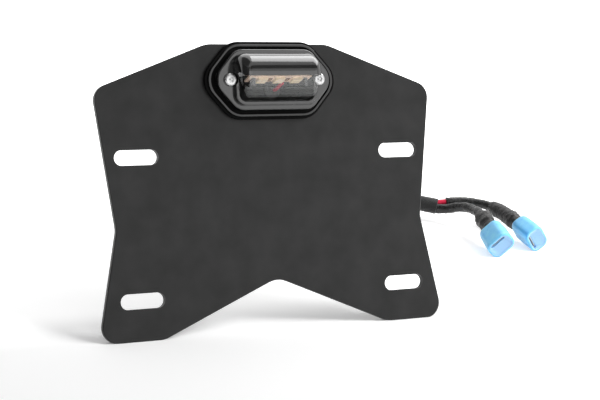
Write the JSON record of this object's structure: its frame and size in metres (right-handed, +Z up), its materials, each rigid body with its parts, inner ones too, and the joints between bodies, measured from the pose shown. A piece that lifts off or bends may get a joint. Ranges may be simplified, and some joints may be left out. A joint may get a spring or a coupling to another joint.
{
  "type": "license plate bracket",
  "caption": "Flat black bracket that holds a motorbike's license plate, with bolt slots, a small hooded plate lamp at its top edge and a wired harness that ends in spade connectors.",
  "frame": {"origin": "centre of the pattern of four slots, on the bracket plate's front face", "axes": "+X to the right as seen from the front, +Y into the plate and away from the viewer, +Z up towards the lamp"},
  "size_m": [0.3177, 0.1802, 0.146],
  "materials": {
    "powder_coat": "satin black powder coat",
    "lamp_plastic": "semi-gloss moulded black plastic",
    "seal_rubber": "matte",
    "lens_clear": "clear and glossy",
    "board": "cream circuit board",
    "light_chip": "yellow-green light chips",
    "resistor": "brown",
    "stainless": "stainless fasteners",
    "sleeve": "matte black sleeve with a fine texture",
    "wire_black": "satin black insulation",
    "wire_red": "satin red insulation",
    "shrink_tube": "semi-matte shrink tube",
    "blue_vinyl": "translucent light blue cover",
    "tinned_brass": "tinned sheet metal"
  },
  "bodies": {
    "root": {"bracket_plate": "powder_coat", "lamp_gasket": "seal_rubber", "lamp_tray": "lamp_plastic", "lamp_cover": "lamp_plastic", "lamp_lens": "lens_clear", "light_board": "board", "light_chips": "light_chip", "board_resistors": "resistor", "lamp_screw_left": "stainless", "lamp_screw_right": "stainless", "washer_left": "stainless", "washer_right": "stainless", "lock_nut_left": "stainless", "lock_nut_right": "stainless", "cable_grommet": "seal_rubber", "feed_wire_inside": "wire_red", "earth_wire_inside": "wire_black", "harness_sleeve": "sleeve", "feed_wire": "wire_red", "feed_lead": "wire_black", "earth_lead": "wire_black", "earth_collar": "shrink_tube", "feed_collar": "shrink_tube", "earth_spade_cover": "blue_vinyl", "feed_spade_cover": "blue_vinyl", "earth_terminal": "tinned_brass", "feed_terminal": "tinned_brass"}
  },
  "joints": []
}
